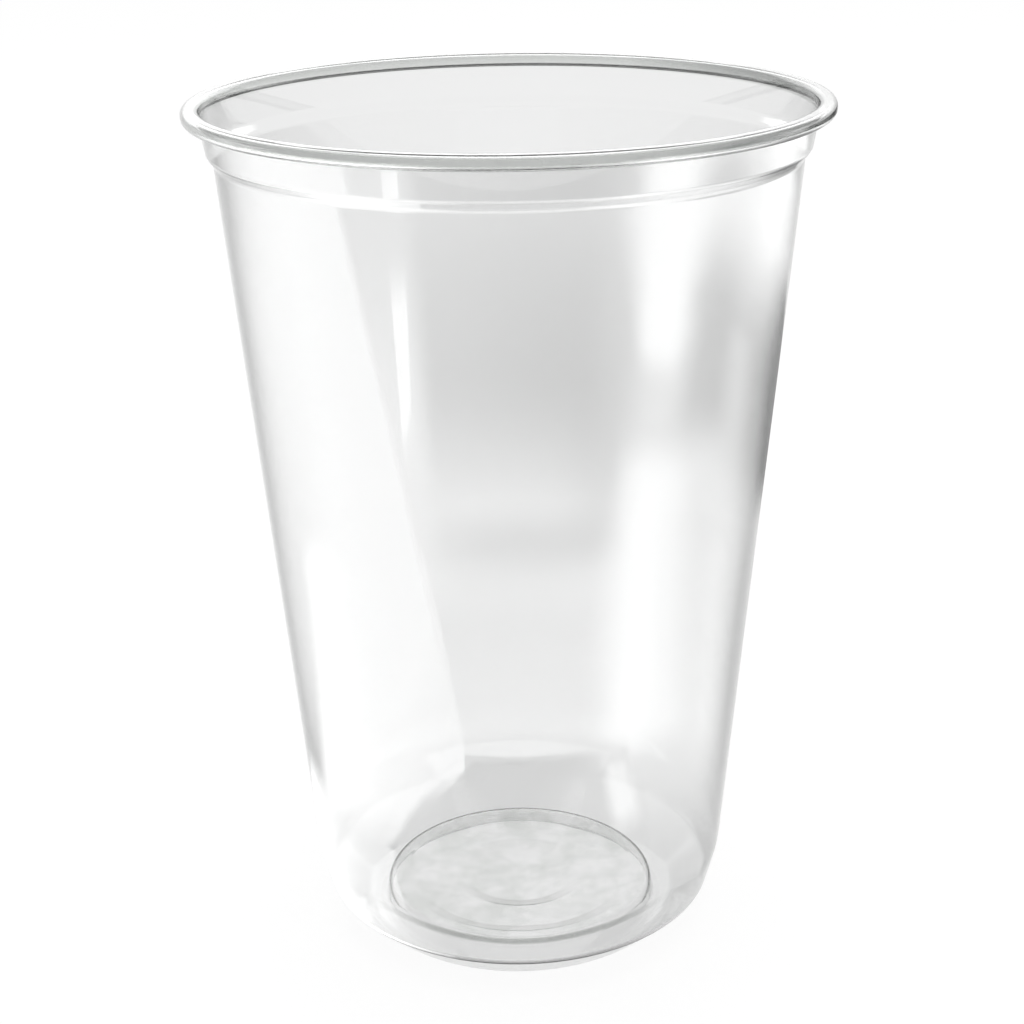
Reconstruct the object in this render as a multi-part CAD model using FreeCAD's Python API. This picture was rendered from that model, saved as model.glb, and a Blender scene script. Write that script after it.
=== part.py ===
import FreeCAD, Part
from FreeCAD import Vector
import math
import os

# A clear throw-away drinks cup, formed in one piece from a plastic sheet.
# It stands on the origin with its axis along +Z, in millimetres and degrees.
# The sizes of the wall, corner and base are those of the sheet's outer face.

# Sheet
sheet = 0.4

# Rolled rim
rim_diameter = 98.0
cup_height = 137.0
roll_width = 2.7
roll_height = 2.2
roll_bend = 0.95
roll_gap = 0.35

# Band under the rim, and the stacking shoulder below it
band_height = 6.8
band_draft = 9.0
shoulder_inset = 1.05
shoulder_drop = 1.4
shoulder_bend = 1.6

# Wall
wall_draft = 5.18

# Rounded corner, which turns in two bends from the wall to the foot
corner_height = 12.7
corner_bend = 16.0
knuckle_inset = 1.85
knuckle_height = 5.9
knuckle_bend = 2.5

# Foot ring that the cup stands on
foot_diameter = 51.6
foot_bend = 4.0
foot_land = 0.9

# Floor, pushed up inside the foot ring, with two shallow steps in it
floor_height = 3.6
floor_draft = 4.0
floor_bend = 0.9
floor_border = 2.5
floor_ring = 6.5
step_height = 0.35
step_draft = 75.0
step_bend = 2.0


def lean(height, draft):
    """Sideways run of a face with this draft over this height."""
    return height * math.tan(math.radians(draft))


# Band, shoulder and top of the wall, measured down from the rim
mouth_radius = rim_diameter / 2 - roll_width + sheet
shoulder_height = cup_height - band_height
shoulder_radius = mouth_radius - lean(cup_height - sheet - shoulder_height, band_draft)
wall_top_height = shoulder_height - shoulder_drop
wall_top_radius = shoulder_radius - shoulder_inset

# Foot of the wall, the knuckle half way round the corner, and the foot ring
corner_radius = wall_top_radius - lean(wall_top_height - corner_height, wall_draft)
knuckle_radius = corner_radius - knuckle_inset
foot_radius = foot_diameter / 2
foot_turn = math.atan2(knuckle_height, knuckle_radius - foot_radius)
land_radius = foot_radius - foot_bend * math.tan(foot_turn / 2) - foot_land

# Recess wall that the floor is pushed up by, and the floor's own edge
recess_turn = math.radians(90 - floor_draft)
recess_radius = land_radius - floor_bend * math.tan(recess_turn / 2)
floor_radius = recess_radius - lean(floor_height, floor_draft)


def floor_corners():
    """Lower face of the floor from the axis out, as (radius, height, bend)."""
    step_run = lean(step_height, step_draft)
    outer_step = floor_radius - floor_border
    inner_step = outer_step - step_run - floor_ring
    middle = floor_height - 2 * step_height
    ring = floor_height - step_height
    return [
        (0, middle, 0),
        (inner_step - step_run, middle, step_bend),
        (inner_step, ring, step_bend),
        (outer_step - step_run, ring, step_bend),
        (outer_step, floor_height, step_bend),
    ]


def base_corners():
    """The recess wall, the ring on the table and the rounded corner."""
    return [
        (floor_radius, floor_height, floor_bend),
        (recess_radius, 0, floor_bend),
        (foot_radius, 0, foot_bend),
        (knuckle_radius, knuckle_height, knuckle_bend),
        (corner_radius, corner_height, corner_bend),
    ]


def shoulder_corners():
    """The step between the wall and the wider band under the rim."""
    return [
        (wall_top_radius, wall_top_height, shoulder_bend),
        (shoulder_radius, shoulder_height, shoulder_bend),
    ]


def roll_corners():
    """The rim, rolled outwards and down into a hollow bead."""
    bend = roll_bend - sheet
    top = cup_height - sheet
    outside = rim_diameter / 2 - sheet
    underside = cup_height - roll_height + sheet
    band = mouth_radius - lean(top - underside, band_draft)
    return [
        (mouth_radius, top, bend),
        (outside, top, bend),
        (outside, underside, bend),
        (band + roll_gap + sheet, underside, 0),
    ]


def rounded_line(corners):
    """A wire through the corners, each one rounded by its own bend."""
    points = [Vector(radius, 0, height) for radius, height, bend in corners]
    edges = []
    start = points[0]
    for before, point, after, corner in zip(points, points[1:], points[2:], corners[1:]):
        back = (before - point).normalize()
        ahead = (after - point).normalize()
        half_angle = back.getAngle(ahead) / 2
        length = corner[2] / math.tan(half_angle)
        bisector = (back + ahead).normalize()
        reach = corner[2] / math.sin(half_angle) - corner[2]
        arc_start = point + back * length
        arc_end = point + ahead * length
        edges.append(Part.LineSegment(start, arc_start).toShape())
        edges.append(Part.Arc(arc_start, point + bisector * reach, arc_end).toShape())
        start = arc_end
    edges.append(Part.LineSegment(start, points[-1]).toShape())
    return Part.Wire(edges)


outer_line = rounded_line(
    floor_corners() + base_corners() + shoulder_corners() + roll_corners()
)
section = outer_line.makeOffset2D(sheet, 0, True, True)
cup = section.revolve(Vector(0, 0, 0), Vector(0, 0, 1), 360)

os.makedirs("parts", exist_ok=True)
cup.exportStep("parts/cup.step")
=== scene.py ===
import bmesh
import bpy
import math
from mathutils import Matrix, Vector


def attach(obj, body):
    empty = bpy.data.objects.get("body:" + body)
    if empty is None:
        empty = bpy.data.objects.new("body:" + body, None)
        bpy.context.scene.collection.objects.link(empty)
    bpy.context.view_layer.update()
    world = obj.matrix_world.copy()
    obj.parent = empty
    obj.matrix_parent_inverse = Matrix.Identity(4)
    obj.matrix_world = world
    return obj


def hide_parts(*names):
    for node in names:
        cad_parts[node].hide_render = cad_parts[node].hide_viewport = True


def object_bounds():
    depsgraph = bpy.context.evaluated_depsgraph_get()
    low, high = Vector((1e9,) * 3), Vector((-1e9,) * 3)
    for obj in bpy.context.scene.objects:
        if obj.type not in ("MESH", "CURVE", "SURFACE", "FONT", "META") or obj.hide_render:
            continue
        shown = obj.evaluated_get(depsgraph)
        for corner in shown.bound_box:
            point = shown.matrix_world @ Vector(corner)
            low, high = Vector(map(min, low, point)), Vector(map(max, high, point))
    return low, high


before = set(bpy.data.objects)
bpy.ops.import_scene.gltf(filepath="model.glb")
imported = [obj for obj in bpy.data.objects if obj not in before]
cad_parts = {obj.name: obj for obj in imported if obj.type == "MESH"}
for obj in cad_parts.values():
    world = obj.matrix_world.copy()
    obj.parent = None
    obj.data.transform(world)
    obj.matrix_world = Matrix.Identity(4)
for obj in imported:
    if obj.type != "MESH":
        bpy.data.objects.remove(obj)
cad_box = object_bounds()

MM = 0.001

# Sizes of the cup, of the sheet's outer face and in metres, with drafts in degrees
SHEET = 0.4 * MM
RIM_RADIUS = cad_box[1][0]
HEIGHT = cad_box[1][2]
ROLL_WIDTH = 2.7 * MM
ROLL_HEIGHT = 2.2 * MM
ROLL_BEND = 0.95 * MM
ROLL_GAP = 0.35 * MM
BAND_HEIGHT = 6.8 * MM
BAND_DRAFT = 9.0
SHOULDER_INSET = 1.05 * MM
SHOULDER_DROP = 1.4 * MM
SHOULDER_BEND = 1.6 * MM
WALL_DRAFT = 5.18
CORNER_HEIGHT = 12.7 * MM
CORNER_BEND = 16.0 * MM
KNUCKLE_INSET = 1.85 * MM
KNUCKLE_HEIGHT = 5.9 * MM
KNUCKLE_BEND = 2.5 * MM
FOOT_RADIUS = 25.8 * MM
FOOT_BEND = 4.0 * MM
FOOT_LAND = 0.9 * MM
FLOOR_HEIGHT = 3.6 * MM
FLOOR_DRAFT = 4.0
FLOOR_BEND = 0.9 * MM
FLOOR_BORDER = 2.5 * MM
FLOOR_RING = 6.5 * MM
STEP_HEIGHT = 0.35 * MM
STEP_DRAFT = 81.0
STEP_BEND = 2.0 * MM

# Fineness of the turned sheet: facets round the axis, and the turn between two points of a bend
SEGMENTS = 384
ARC_STEP = math.radians(9)

# Cloudy part of the floor: the radius where it starts to fade in, the radius where it is full,
# the height that it lies below, and the width of a cloud
CLOUDY_OUTSIDE = 22.0 * MM
CLOUDY_INSIDE = 21.2 * MM
CLOUDY_BELOW = 6.0 * MM
CLOUD_WIDTH = 6.0 * MM

# Greyer part of the rolled rim: the depths below the top where it fades in, and how far to the
# right its painted shade, a deeper grey, starts and is full
RIM_GREY_START = 2.4 * MM
RIM_GREY_FULL = 2.0 * MM
RIM_SHADE_START = 20 * MM
RIM_SHADE_FULL = 48 * MM

# Painted shade line, dark and low on the front wall: its height at the middle of the front, its
# rise to the sides as metres for each square metre, its half-width at its faint edge and at its
# full grey, and the distances in front of the axis where it fades in
SHADE_LINE_HEIGHT = 10.9 * MM
SHADE_LINE_RISE = 5.0
SHADE_LINE_EDGE = 0.95 * MM
SHADE_LINE_CORE = 0.25 * MM
SHADE_LINE_FADE_START = 24 * MM
SHADE_LINE_FADE_FULL = 33.5 * MM

# Table: its radius, and the ring of light just above it, whose radii and height are in millimetres
TABLE_RADIUS = 6
LIGHT_INSIDE = 28
LIGHT_OUTSIDE = 6000
LIGHT_HEIGHT = 0.3

# How many faces of the sheet mirrored light may have passed through: only what the wall nearest
# the camera mirrors has passed fewer than three
NEAR_WALL = 3
ANY_WALL = 100

# Camera: its place, its tilt down and its roll in degrees, and its focal length and the picture's
# width in pixels
CAMERA_PLACE = (-0.42 * MM, -303.51 * MM, 184.07 * MM)
CAMERA_TILT = 20.57
CAMERA_ROLL = -0.87
CAMERA_FOCUS = 2000
PICTURE_WIDTH = 1024
SENSOR_WIDTH = 36


def hex_colour(text):
    """A colour written as sRGB hex, as Blender's linear numbers."""
    parts = [int(text[i:i + 2], 16) / 255 for i in (1, 3, 5)]
    linear = [p / 12.92 if p <= 0.04045 else ((p + 0.055) / 1.055) ** 2.4 for p in parts]
    return (*linear, 1.0)


def add_node(tree, kind, settings=None, links=None):
    """Adds a node, sets its sockets and properties, and links its inputs."""
    node = tree.nodes.new(kind)
    for name, value in (settings or {}).items():
        if name == "output":
            node.outputs[0].default_value = value
        elif isinstance(name, int) or name in node.inputs:
            node.inputs[name].default_value = value
        else:
            setattr(node, name, value)
    for name, source in (links or {}).items():
        tree.links.new(source, node.inputs[name])
    return node


def new_material(name):
    """A material with an empty node tree."""
    material = bpy.data.materials.new(name)
    material.use_nodes = True
    material.node_tree.nodes.clear()
    return material


# The cup's section

def lean(height, draft):
    """Sideways run of a face with this draft over this height."""
    return height * math.tan(math.radians(draft))


def cup_corners():
    """Corners of the sheet's outer face with their bends, from the axis to the rolled edge."""
    mouth = RIM_RADIUS - ROLL_WIDTH + SHEET
    top = HEIGHT - SHEET
    shoulder_height = HEIGHT - BAND_HEIGHT
    shoulder = mouth - lean(top - shoulder_height, BAND_DRAFT)
    wall_height = shoulder_height - SHOULDER_DROP
    wall = shoulder - SHOULDER_INSET
    corner = wall - lean(wall_height - CORNER_HEIGHT, WALL_DRAFT)
    knuckle = corner - KNUCKLE_INSET
    foot_turn = math.atan2(KNUCKLE_HEIGHT, knuckle - FOOT_RADIUS)
    land = FOOT_RADIUS - FOOT_BEND * math.tan(foot_turn / 2) - FOOT_LAND
    recess = land - FLOOR_BEND * math.tan(math.radians(90 - FLOOR_DRAFT) / 2)
    floor = recess - lean(FLOOR_HEIGHT, FLOOR_DRAFT)
    step_run = lean(STEP_HEIGHT, STEP_DRAFT)
    outer_step = floor - FLOOR_BORDER
    inner_step = outer_step - step_run - FLOOR_RING
    outside = RIM_RADIUS - SHEET
    underside = HEIGHT - ROLL_HEIGHT + SHEET
    rolled_edge = mouth - lean(top - underside, BAND_DRAFT) + ROLL_GAP + SHEET
    return [
        (0, FLOOR_HEIGHT - 2 * STEP_HEIGHT, 0),
        (inner_step - step_run, FLOOR_HEIGHT - 2 * STEP_HEIGHT, STEP_BEND),
        (inner_step, FLOOR_HEIGHT - STEP_HEIGHT, STEP_BEND),
        (outer_step - step_run, FLOOR_HEIGHT - STEP_HEIGHT, STEP_BEND),
        (outer_step, FLOOR_HEIGHT, STEP_BEND),
        (floor, FLOOR_HEIGHT, FLOOR_BEND),
        (recess, 0, FLOOR_BEND),
        (FOOT_RADIUS, 0, FOOT_BEND),
        (knuckle, KNUCKLE_HEIGHT, KNUCKLE_BEND),
        (corner, CORNER_HEIGHT, CORNER_BEND),
        (wall, wall_height, SHOULDER_BEND),
        (shoulder, shoulder_height, SHOULDER_BEND),
        (mouth, top, ROLL_BEND - SHEET),
        (outside, top, ROLL_BEND - SHEET),
        (outside, underside, ROLL_BEND - SHEET),
        (rolled_edge, underside, 0),
    ]


def rounded_points(corners):
    """Points and unit normals along the line, with each corner rounded by its bend."""
    points = [Vector((radius, height)) for radius, height, bend in corners]
    bends = [bend for radius, height, bend in corners]
    line = []

    def add(point, along):
        line.append((point, Vector((-along.y, along.x))))

    add(points[0], (points[1] - points[0]).normalized())
    for before, point, after, bend in zip(points, points[1:], points[2:], bends[1:]):
        arriving = (point - before).normalized()
        leaving = (after - point).normalized()
        turn = arriving.angle_signed(leaving)
        length = bend * math.tan(abs(turn) / 2)
        start = point - arriving * length
        side = Vector((-arriving.y, arriving.x)) * (-1 if turn > 0 else 1)
        centre = start + side * bend
        steps = max(2, math.ceil(abs(turn) / ARC_STEP))
        for i in range(steps + 1):
            spin = Matrix.Rotation(-turn * i / steps, 2)
            add(centre + spin @ (start - centre), spin @ arriving)
    add(points[-1], (points[-1] - points[-2]).normalized())
    return line


def cup_section():
    """The sheet's closed section, from the axis along its outer face and back along its inner."""
    line = rounded_points(cup_corners())
    outer = [(point, -normal) for point, normal in line]
    inner = [(point + normal * SHEET, normal) for point, normal in reversed(line)]
    return outer + inner


def turned_sheet(name):
    """The cup's sheet as one closed skin, turned round the axis from its section."""
    turns = [math.tau * i / SEGMENTS for i in range(SEGMENTS)]
    points = []
    normals = []
    rings = []
    for point, normal in cup_section():
        if point.x == 0:
            rings.append([len(points)] * SEGMENTS)
            points.append((0, 0, point.y))
            normals.append((0, 0, normal.y))
            continue
        rings.append([len(points) + i for i in range(SEGMENTS)])
        points += [(point.x * math.cos(a), point.x * math.sin(a), point.y) for a in turns]
        normals += [(normal.x * math.cos(a), normal.x * math.sin(a), normal.y) for a in turns]
    faces = []
    for ring, following in zip(rings, rings[1:]):
        for i in range(SEGMENTS):
            j = (i + 1) % SEGMENTS
            corners = (ring[i], ring[j], following[j], following[i])
            faces.append(tuple(dict.fromkeys(corners)))
    mesh = bpy.data.meshes.new(name)
    mesh.from_pydata(points, [], faces)
    mesh.shade_smooth()
    mesh.normals_split_custom_set_from_vertices(normals)
    cup = bpy.data.objects.new(name, mesh)
    bpy.context.scene.collection.objects.link(cup)
    return cup


# The plastic

def cloudy_floor(tree, place, sides):
    """Where the floor is, from 0 to 1, and its tint: a little cloudy, because it is stretched least."""
    level = add_node(tree, "ShaderNodeVectorMath", {"operation": "MULTIPLY", 1: (1, 1, 0)},
                     {0: place.outputs["Position"]})
    reach = add_node(tree, "ShaderNodeVectorMath", {"operation": "LENGTH"}, {0: level.outputs[0]})
    inside = add_node(tree, "ShaderNodeMapRange", {
        "interpolation_type": "SMOOTHSTEP",
        "From Min": CLOUDY_OUTSIDE,
        "From Max": CLOUDY_INSIDE,
    }, {"Value": reach.outputs["Value"]})
    low = add_node(tree, "ShaderNodeMath", {"operation": "LESS_THAN", 1: CLOUDY_BELOW},
                   {0: sides.outputs["Z"]})
    floor = add_node(tree, "ShaderNodeMath", {"operation": "MULTIPLY"},
                     {0: inside.outputs[0], 1: low.outputs[0]})
    clouds = add_node(tree, "ShaderNodeTexNoise", {
        "Scale": 1 / CLOUD_WIDTH,
        "Detail": 2.0,
        "Roughness": 0.6,
    }, {"Vector": place.outputs["Position"]})
    shade = add_node(tree, "ShaderNodeMapRange", {"From Min": 0.35, "From Max": 0.65},
                     {"Value": clouds.outputs["Fac"]})
    cloudy = add_node(tree, "ShaderNodeMix", {
        "data_type": "RGBA",
        6: hex_colour("#e9ebe9"),
        7: hex_colour("#ffffff"),
    }, {0: shade.outputs[0]})
    return floor.outputs[0], cloudy.outputs[2]


def rim_grey_and_painted_shade(tree, sides):
    """The sheet's tint above the floor: clear, and grey in the rolled rim, with painted shade on the
    right.
    """
    rolled = add_node(tree, "ShaderNodeMapRange", {
        "interpolation_type": "SMOOTHSTEP",
        "From Min": HEIGHT - RIM_GREY_START,
        "From Max": HEIGHT - RIM_GREY_FULL,
    }, {"Value": sides.outputs["Z"]})
    # Painted shade: the rim's grey deepens towards the right side
    right = add_node(tree, "ShaderNodeMapRange", {
        "From Min": RIM_SHADE_START,
        "From Max": RIM_SHADE_FULL,
    }, {"Value": sides.outputs["X"]})
    grey = add_node(tree, "ShaderNodeMix", {
        "data_type": "RGBA",
        6: hex_colour("#f6f7f6"),
        7: hex_colour("#d2d3d2"),
    }, {0: right.outputs[0]})
    tint = add_node(tree, "ShaderNodeMix", {"data_type": "RGBA", 6: hex_colour("#ffffff")},
                    {0: rolled.outputs[0], 7: grey.outputs[2]})
    return tint.outputs[2]


def painted_shade_line(tree, sides):
    """Where the painted shade line is, from 0 to 1: low on the front, and higher towards the sides."""
    bow = add_node(tree, "ShaderNodeMath", {"operation": "MULTIPLY"},
                   {0: sides.outputs["X"], 1: sides.outputs["X"]})
    rise = add_node(tree, "ShaderNodeMath", {"operation": "MULTIPLY", 1: -SHADE_LINE_RISE},
                    {0: bow.outputs[0]})
    height = add_node(tree, "ShaderNodeMath", {"operation": "ADD"},
                      {0: sides.outputs["Z"], 1: rise.outputs[0]})
    above = add_node(tree, "ShaderNodeMath", {"operation": "SUBTRACT", 1: SHADE_LINE_HEIGHT},
                     {0: height.outputs[0]})
    away = add_node(tree, "ShaderNodeMath", {"operation": "ABSOLUTE"}, {0: above.outputs[0]})
    line = add_node(tree, "ShaderNodeMapRange", {
        "interpolation_type": "SMOOTHSTEP",
        "From Min": SHADE_LINE_EDGE,
        "From Max": SHADE_LINE_CORE,
    }, {"Value": away.outputs[0]})
    front = add_node(tree, "ShaderNodeMapRange", {
        "interpolation_type": "SMOOTHSTEP",
        "From Min": -SHADE_LINE_FADE_START,
        "From Max": -SHADE_LINE_FADE_FULL,
    }, {"Value": sides.outputs["Y"]})
    shaded = add_node(tree, "ShaderNodeMath", {"operation": "MULTIPLY"},
                       {0: line.outputs[0], 1: front.outputs[0]})
    return shaded.outputs[0]


def thermoformed_pet():
    """Clear PET sheet, drawn over a mould.

    It is glossy, and its faint grey deepens where light runs along the sheet, so its edges and
    bends show as dark lines. The floor is a little cloudy, and the rolled rim greyer with painted
    shade deepening it on the right. A grey line of painted shade lies low on the front.
    """
    material = new_material("clear thermoformed PET sheet")
    tree = material.node_tree
    place = add_node(tree, "ShaderNodeNewGeometry")
    sides = add_node(tree, "ShaderNodeSeparateXYZ", links={"Vector": place.outputs["Position"]})
    floor, cloudy = cloudy_floor(tree, place, sides)
    # Painted shade: the grey #bcbebc is the painted shade line, laid over the rim's tint
    wall = add_node(tree, "ShaderNodeMix", {"data_type": "RGBA", 7: hex_colour("#bcbebc")},
                    {0: painted_shade_line(tree, sides), 6: rim_grey_and_painted_shade(tree, sides)})
    tint = add_node(tree, "ShaderNodeMix", {"data_type": "RGBA"},
                    {0: floor, 6: wall.outputs[2], 7: cloudy})
    sheet = add_node(tree, "ShaderNodeBsdfPrincipled", {
        "Roughness": 0.0,
        "IOR": 1.57,
        "Transmission Weight": 1.0,
    }, {"Base Color": tint.outputs[2]})
    depth = add_node(tree, "ShaderNodeVolumeAbsorption", {
        "Color": hex_colour("#9d9f9e"),
        "Density": 600.0,
    })
    add_node(tree, "ShaderNodeOutputMaterial", links={
        "Surface": sheet.outputs["BSDF"],
        "Volume": depth.outputs["Volume"],
    })
    return material


# The studio

def studio_floor():
    """Matt white table top: plain white with the cup's faint shadow, and clear from below."""
    material = new_material("matt white table top")
    tree = material.node_tree
    top = add_node(tree, "ShaderNodeBsdfDiffuse", {"Color": hex_colour("#595959")})
    glow = add_node(tree, "ShaderNodeEmission", {"Color": hex_colour("#ffffff"), "Strength": 0.93})
    both = add_node(tree, "ShaderNodeAddShader", links={
        0: top.outputs["BSDF"],
        1: glow.outputs["Emission"],
    })
    side = add_node(tree, "ShaderNodeNewGeometry")
    clear = add_node(tree, "ShaderNodeBsdfTransparent")
    seen = add_node(tree, "ShaderNodeMixShader", links={
        0: side.outputs["Backfacing"],
        1: both.outputs[0],
        2: clear.outputs[0],
    })
    add_node(tree, "ShaderNodeOutputMaterial", links={"Surface": seen.outputs["Shader"]})
    return material


def table_top(name, material):
    """A wide round table under the cup."""
    work = bmesh.new()
    bmesh.ops.create_circle(work, cap_ends=True, segments=96, radius=TABLE_RADIUS)
    mesh = bpy.data.meshes.new(name)
    work.to_mesh(mesh)
    work.free()
    mesh.materials.append(material)
    top = bpy.data.objects.new(name, mesh)
    bpy.context.scene.collection.objects.link(top)


def white_world():
    """White to the camera and in what the cup mirrors and lets through, and dimmer on the table."""
    world = bpy.data.worlds.new("studio")
    bpy.context.scene.world = world
    world.use_nodes = True
    tree = world.node_tree
    tree.nodes.clear()
    ray = add_node(tree, "ShaderNodeLightPath")
    seen = add_node(tree, "ShaderNodeMath", {"operation": "MAXIMUM"},
                    {0: ray.outputs["Is Camera Ray"], 1: ray.outputs["Is Glossy Ray"]})
    shown = add_node(tree, "ShaderNodeMath", {"operation": "MAXIMUM"},
                     {0: seen.outputs[0], 1: ray.outputs["Is Transmission Ray"]})
    air = add_node(tree, "ShaderNodeBackground", {"Color": hex_colour("#ffffff"), "Strength": 0.5})
    backdrop = add_node(tree, "ShaderNodeBackground", {"Color": hex_colour("#ffffff"), "Strength": 1.0})
    mix = add_node(tree, "ShaderNodeMixShader", links={
        0: shown.outputs[0],
        1: air.outputs[0],
        2: backdrop.outputs[0],
    })
    add_node(tree, "ShaderNodeOutputWorld", links={"Surface": mix.outputs[0]})


def softbox(name, place, target, width, power):
    """A soft round lamp that faces its target and isn't itself seen by the camera."""
    lamp = bpy.data.lights.new(name, "AREA")
    lamp.shape = "ELLIPSE"
    lamp.size = width
    lamp.size_y = width
    lamp.energy = power
    holder = bpy.data.objects.new(name, lamp)
    bpy.context.scene.collection.objects.link(holder)
    holder.location = place
    holder.rotation_euler = (Vector(target) - Vector(place)).to_track_quat("-Z", "Y").to_euler()
    holder.visible_camera = False
    holder.visible_transmission = False


# The light that the cup mirrors

def mirrored_only(tree, deepest):
    """One for light that the cup mirrors through fewer than so many faces, and zero for the rest."""
    ray = add_node(tree, "ShaderNodeLightPath")
    shallow = add_node(tree, "ShaderNodeMath", {"operation": "LESS_THAN", 1: deepest},
                       {0: ray.outputs["Transmission Depth"]})
    mirrored = add_node(tree, "ShaderNodeMath", {"operation": "MINIMUM", 1: 1.0},
                        {0: ray.outputs["Glossy Depth"]})
    both = add_node(tree, "ShaderNodeMath", {"operation": "MULTIPLY"},
                    {0: shallow.outputs[0], 1: mirrored.outputs[0]})
    return both.outputs[0]


def faded(tree, across, along, feather):
    """A share that is one inside a patch and fades out at its four sides.

    Across and along are sockets that run from 0 to 1 over the patch. Feather is the share of the
    patch over which it fades: at the start and the end across it, then at the start and the end
    along it.
    """
    share = None
    sides = (
        (across, 0, feather[0]),
        (across, 1, 1 - feather[1]),
        (along, 0, feather[2]),
        (along, 1, 1 - feather[3]),
    )
    for run, edge, inside in sides:
        fade = add_node(tree, "ShaderNodeMapRange", {
            "interpolation_type": "SMOOTHSTEP",
            "From Min": edge,
            "From Max": inside,
        }, {"Value": run})
        if share is None:
            share = fade.outputs[0]
        else:
            both = add_node(tree, "ShaderNodeMath", {"operation": "MULTIPLY"},
                            {0: share, 1: fade.outputs[0]})
            share = both.outputs[0]
    return share


def card_material(name, card_nodes):
    """A clear card with a glow on it: card_nodes gives the sockets for the glow and for its share."""
    material = new_material(name)
    tree = material.node_tree
    glow, shown = card_nodes(tree)
    clear = add_node(tree, "ShaderNodeBsdfTransparent")
    mix = add_node(tree, "ShaderNodeMixShader", links={0: shown, 1: clear.outputs[0], 2: glow})
    add_node(tree, "ShaderNodeOutputMaterial", links={"Surface": mix.outputs["Shader"]})
    return material


def card_mesh(name, place, columns, rows, material):
    """A thin sheet through the points that place gives for two shares from 0 to 1."""
    points = []
    shares = []
    for j in range(rows + 1):
        for i in range(columns + 1):
            share = (i / columns, j / rows)
            shares.append(share)
            points.append(Vector(place(*share)) * MM)
    faces = []
    for j in range(rows):
        for i in range(columns):
            k = j * (columns + 1) + i
            faces.append((k, k + 1, k + columns + 2, k + columns + 1))
    mesh = bpy.data.meshes.new(name)
    mesh.from_pydata(points, [], faces)
    layer = mesh.uv_layers.new(name="UVMap")
    for loop in mesh.loops:
        layer.data[loop.index].uv = shares[loop.vertex_index]
    mesh.materials.append(material)
    card = bpy.data.objects.new(name, mesh)
    bpy.context.scene.collection.objects.link(card)
    card.visible_camera = False
    card.visible_diffuse = False
    card.visible_shadow = False


def point_along(points, share):
    """The point at this share of the length of a line of points."""
    points = [Vector(p) for p in points]
    spans = [(b - a).length for a, b in zip(points, points[1:])]
    left = sum(spans) * share
    k = 0
    while k < len(spans) - 1 and left > spans[k]:
        left -= spans[k]
        k += 1
    return points[k].lerp(points[k + 1], min(left / spans[k], 1))


def studio_card(name, near, far, heights, level, feather, deepest=NEAR_WALL):
    """A card of light or shade between two lines of points, which only the cup's reflections show.

    Heights are those of the near and of the far line, so a card lies flat or stands on edge. Points and
    heights are in millimetres. Feather is as in faded, with across going along the lines.
    """
    def card_nodes(tree):
        place = add_node(tree, "ShaderNodeUVMap")
        sides = add_node(tree, "ShaderNodeSeparateXYZ", links={"Vector": place.outputs["UV"]})
        share = faded(tree, sides.outputs["X"], sides.outputs["Y"], feather)
        shown = add_node(tree, "ShaderNodeMath", {"operation": "MULTIPLY"},
                         {0: share, 1: mirrored_only(tree, deepest)})
        glow = add_node(tree, "ShaderNodeEmission", {"Color": hex_colour("#ffffff"), "Strength": level})
        return glow.outputs[0], shown.outputs[0]

    def place(across, up):
        start = point_along(near, across)
        end = point_along(far, across)
        return (*start.lerp(end, up), heights[0] + (heights[1] - heights[0]) * up)

    card_mesh(name, place, columns=48, rows=8, material=card_material(name, card_nodes))


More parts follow.
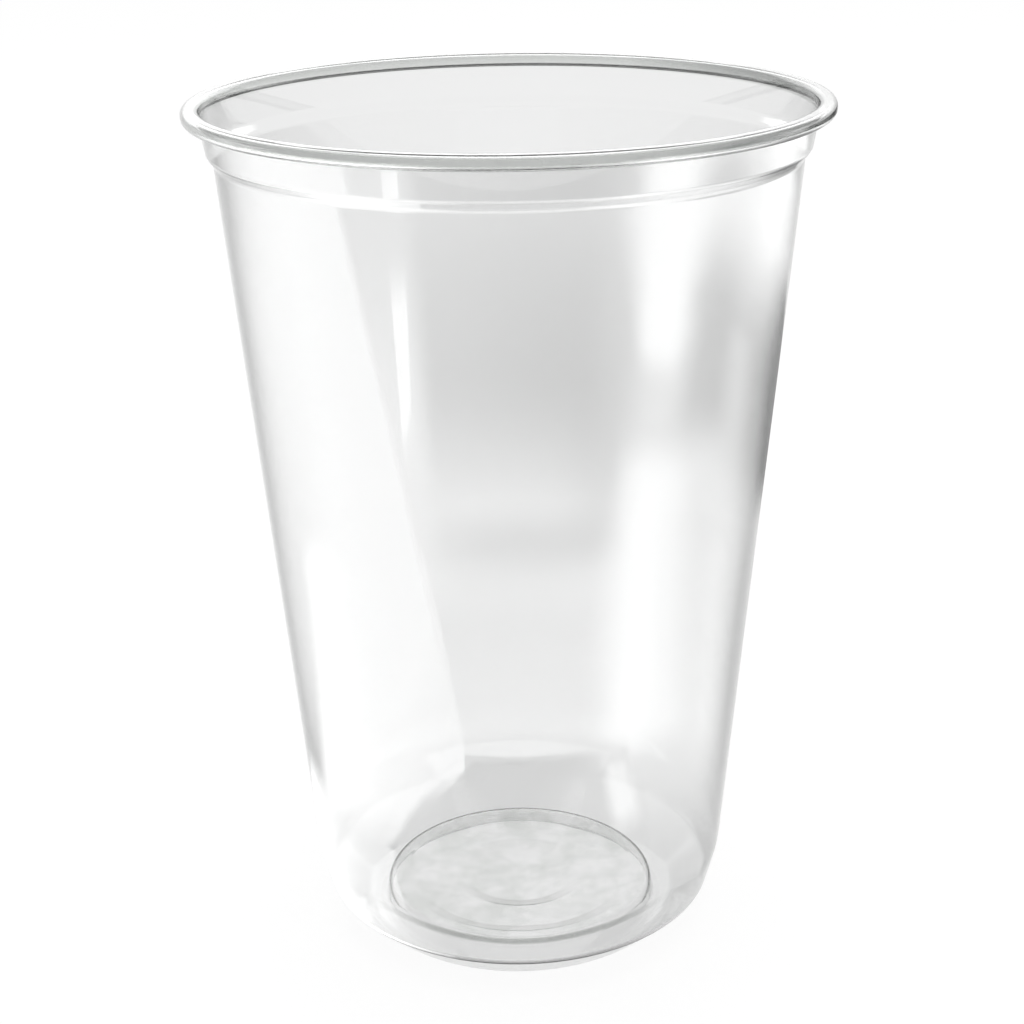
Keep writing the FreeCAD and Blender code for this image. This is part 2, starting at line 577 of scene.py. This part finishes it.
def table_light(name, patches, plain, far_wall):
    """How bright the table looks in the cup: patches of light and shade, each laid over the ones before.

    A patch runs from its near to its far distance from the cup in millimetres, and between two
    angles at each, in degrees from the camera's side round to the right. Then come its level and
    its feather, as in faded. The table between the patches has the plain level. What the cup's
    far wall mirrors has one level all over.
    """
    def card_nodes(tree):
        place = add_node(tree, "ShaderNodeNewGeometry")
        sides = add_node(tree, "ShaderNodeSeparateXYZ", links={"Vector": place.outputs["Position"]})
        toward = add_node(tree, "ShaderNodeMath", {"operation": "MULTIPLY", 1: -1.0},
                          {0: sides.outputs["Y"]})
        turn = add_node(tree, "ShaderNodeMath", {"operation": "ARCTAN2"},
                        {0: sides.outputs["X"], 1: toward.outputs[0]})
        angle = add_node(tree, "ShaderNodeMath", {"operation": "DEGREES"}, {0: turn.outputs[0]})
        reach = add_node(tree, "ShaderNodeVectorMath", {"operation": "LENGTH"},
                         {0: place.outputs["Position"]})
        distance = add_node(tree, "ShaderNodeMath", {"operation": "DIVIDE", 1: MM},
                            {0: reach.outputs["Value"]})
        level = add_node(tree, "ShaderNodeValue", {"output": plain}).outputs[0]
        for near, far, patch_level, feather in patches:
            out = add_node(tree, "ShaderNodeMapRange", {
                "clamp": False,
                "From Min": near[0],
                "From Max": far[0],
            }, {"Value": distance.outputs[0]})
            first, last = [
                add_node(tree, "ShaderNodeMapRange", {"clamp": False, "To Min": start, "To Max": end},
                         {"Value": out.outputs[0]})
                for start, end in zip(near[1:], far[1:])
            ]
            across = add_node(tree, "ShaderNodeMapRange", {"clamp": False}, {
                "Value": angle.outputs[0],
                "From Min": first.outputs[0],
                "From Max": last.outputs[0],
            })
            share = faded(tree, across.outputs[0], out.outputs[0], feather)
            patched = add_node(tree, "ShaderNodeMapRange", {"To Max": patch_level},
                               {"Value": share, "To Min": level})
            level = patched.outputs[0]
        white = {"Color": hex_colour("#ffffff")}
        far_glow = add_node(tree, "ShaderNodeEmission", {**white, "Strength": far_wall})
        near_glow = add_node(tree, "ShaderNodeEmission", white, {"Strength": level})
        glow = add_node(tree, "ShaderNodeMixShader", links={
            0: mirrored_only(tree, NEAR_WALL),
            1: far_glow.outputs[0],
            2: near_glow.outputs[0],
        })
        return glow.outputs[0], mirrored_only(tree, ANY_WALL)

    def place(across, out):
        turn = math.tau * across
        reach = LIGHT_INSIDE + (LIGHT_OUTSIDE - LIGHT_INSIDE) * out * out
        return reach * math.sin(turn), -reach * math.cos(turn), LIGHT_HEIGHT

    card_mesh(name, place, columns=96, rows=12, material=card_material(name, card_nodes))


def photo_camera():
    """The camera at the photograph's place and angle."""
    tilt = math.radians(CAMERA_TILT)
    roll = math.radians(CAMERA_ROLL)
    right = Vector((math.cos(roll), math.sin(roll) * math.sin(tilt), math.sin(roll) * math.cos(tilt)))
    up = Vector((-math.sin(roll), math.cos(roll) * math.sin(tilt), math.cos(roll) * math.cos(tilt)))
    back = right.cross(up)
    lens = bpy.data.cameras.new("photo camera")
    lens.sensor_width = SENSOR_WIDTH
    lens.lens = CAMERA_FOCUS / PICTURE_WIDTH * SENSOR_WIDTH
    lens.clip_start = 0.01
    camera = bpy.data.objects.new("photo camera", lens)
    camera.matrix_world = Matrix((right, up, back)).transposed().to_4x4()
    camera.location = CAMERA_PLACE
    bpy.context.scene.collection.objects.link(camera)
    bpy.context.scene.camera = camera


cup = turned_sheet("cup_sheet")
cup.data.materials.append(thermoformed_pet())
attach(cup, "root")
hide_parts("cup")

white_world()
table_top("table_top", studio_floor())
softbox("overhead_softbox", place=(0, 0.1, 1.4), target=(0, 0, 0), width=1.2, power=12)

# The grey middle of the wall, which is dark at the top and has a lighter band and a dark ring below
middle_patches = [
    ((105, -55, 47), (439, -55, 49), 0.0, (0.8, 0.22, 0.23, 0.22)),
    ((225, -94, 40), (520, -76, 80), 2.85, (0.02, 0.05, 1.0, 0.17)),
    ((120, -44, 80), (255, -79, 61), 4.76, (0.12, 0.46, 0.28, 1.0)),
    ((94, -48, 40), (174, -47, 80), 2.65, (0.13, 0.26, 0.01, 0.65)),
    ((132, -80, 35), (190, -70, 75), 0.48, (0.57, 0.3, 1.0, 0.43)),
]
# The light grey of the left side, around the bright wedge
left_patches = [
    ((110, -98, -26), (500, -94, -34), 3.26, (0.31, 0.17, 0.26, 0.82)),
]
# The right side: bright bands near and far, the gap between them, and shade towards the edge
right_patches = [
    ((178, 106, 190), (437, 112, 150), 0.44, (0.5, 0.14, 0.18, 0.29)),
    ((170, 37, 120), (320, 42, 120), 2.55, (0.22, 0.45, 0.12, 0.23)),
    ((280, 40, 154), (580, 80, 155), 3.2, (0.18, 0.45, 0.5, 0.21)),
    ((246, 47, 69), (480, 23, 104), 4.64, (0.39, 0.4, 0.14, 0.2)),
    ((202, 55, 111), (385, 85, 102), 0.63, (0.34, 0.5, 0.27, 0.55)),
    ((50, 49, 116), (236, 39, 142), 2.62, (0.03, 0.45, 0.26, 0.42)),
    ((85, 18, 90), (227, 40, 86), 4.59, (0.37, 0.61, 0.12, 0.22)),
]
# The left side close to the cup, at the foot of the bright wedge
wedge_foot = [
    ((30, -110, -22), (99, -110, -22), 3.5, (0.2, 0.01, 0.08, 0.001)),
    ((98, -110, -22), (181, -110, -40.3), 3.5, (0.2, 0.02, 0.001, 0.3)),
    ((30, -130, -22), (78, -130, -22), 2.3, (0.1, 0.02, 0.001, 0.4)),
]
# Shade behind the floor and round the foot, and the dark right edge of the wall
base_shade = [
    ((62, -60, 45), (93.5, -19, 45), 0.2, (0.05, 0.5, 0.01, 0.04)),
    ((28, -60, 60), (50, -60, 60), 0.6, (0.45, 0.3, 0.01, 0.5)),
    ((620, 60, 170), (4000, 60, 170), 0.1, (0.2, 0.2, 0.05, 0.2)),
]
table_light(
    "table_light",
    middle_patches + left_patches + right_patches + wedge_foot + base_shade,
    plain=1.0,
    far_wall=0.05,
)

# The bright wedge on the left, with its straight edge towards the middle
studio_card(
    "left_panel",
    near=[(-37, -91), (-58, -108), (-83, -122), (-117, -138), (-153, -151), (-190, -160),
          (-233, -167), (-282, -173), (-335, -176), (-700, -185)],
    far=[(-60, 0), (-75, 60), (-110, 130), (-286, 400), (-700, 700)],
    heights=(0.6, 0.6),
    level=4.1,
    feather=(0.09, 0.07, 0.05, 0.88),
)
# The grey arch over the floor, and the small bright spot in it
studio_card(
    "disc_shade",
    near=[(-24, -41), (-37, -35), (-43, -34), (-49, -35), (-54, -40), (-56, -48), (-54, -59),
          (-47, -72), (-34, -84)],
    far=[(24, -41), (37, -35), (48, -33), (58, -35), (66, -43), (70, -52), (68, -62), (60, -72),
         (28, -89)],
    heights=(0.9, 0.9),
    level=1.1,
    feather=(0.1, 0.45, 0.04, 0.2),
)
studio_card(
    "disc_gleam",
    near=[(38, -48), (50, -82)],
    far=[(58, -36), (72, -62)],
    heights=(1.2, 1.2),
    level=3.5,
    feather=(0.4, 0.3, 0.4, 0.4),
)
# The thin bright streak beside the wedge
studio_card(
    "left_slot",
    near=[(-135, -140), (-243, -235)],
    far=[(-140, -170), (-205, -262)],
    heights=(0.9, 0.9),
    level=4.7,
    feather=(0.21, 0.4, 0.06, 0.21),
)
# A bright panel that stands behind the cup
studio_card(
    "back_panel",
    near=[(-600, 600), (600, 600)],
    far=[(-600, 600), (600, 600)],
    heights=(150, 900),
    level=2.2,
    feather=(0.1, 0.1, 0.2, 0.2),
    deepest=ANY_WALL,
)

photo_camera()
bpy.context.scene.view_settings.view_transform = "Standard"
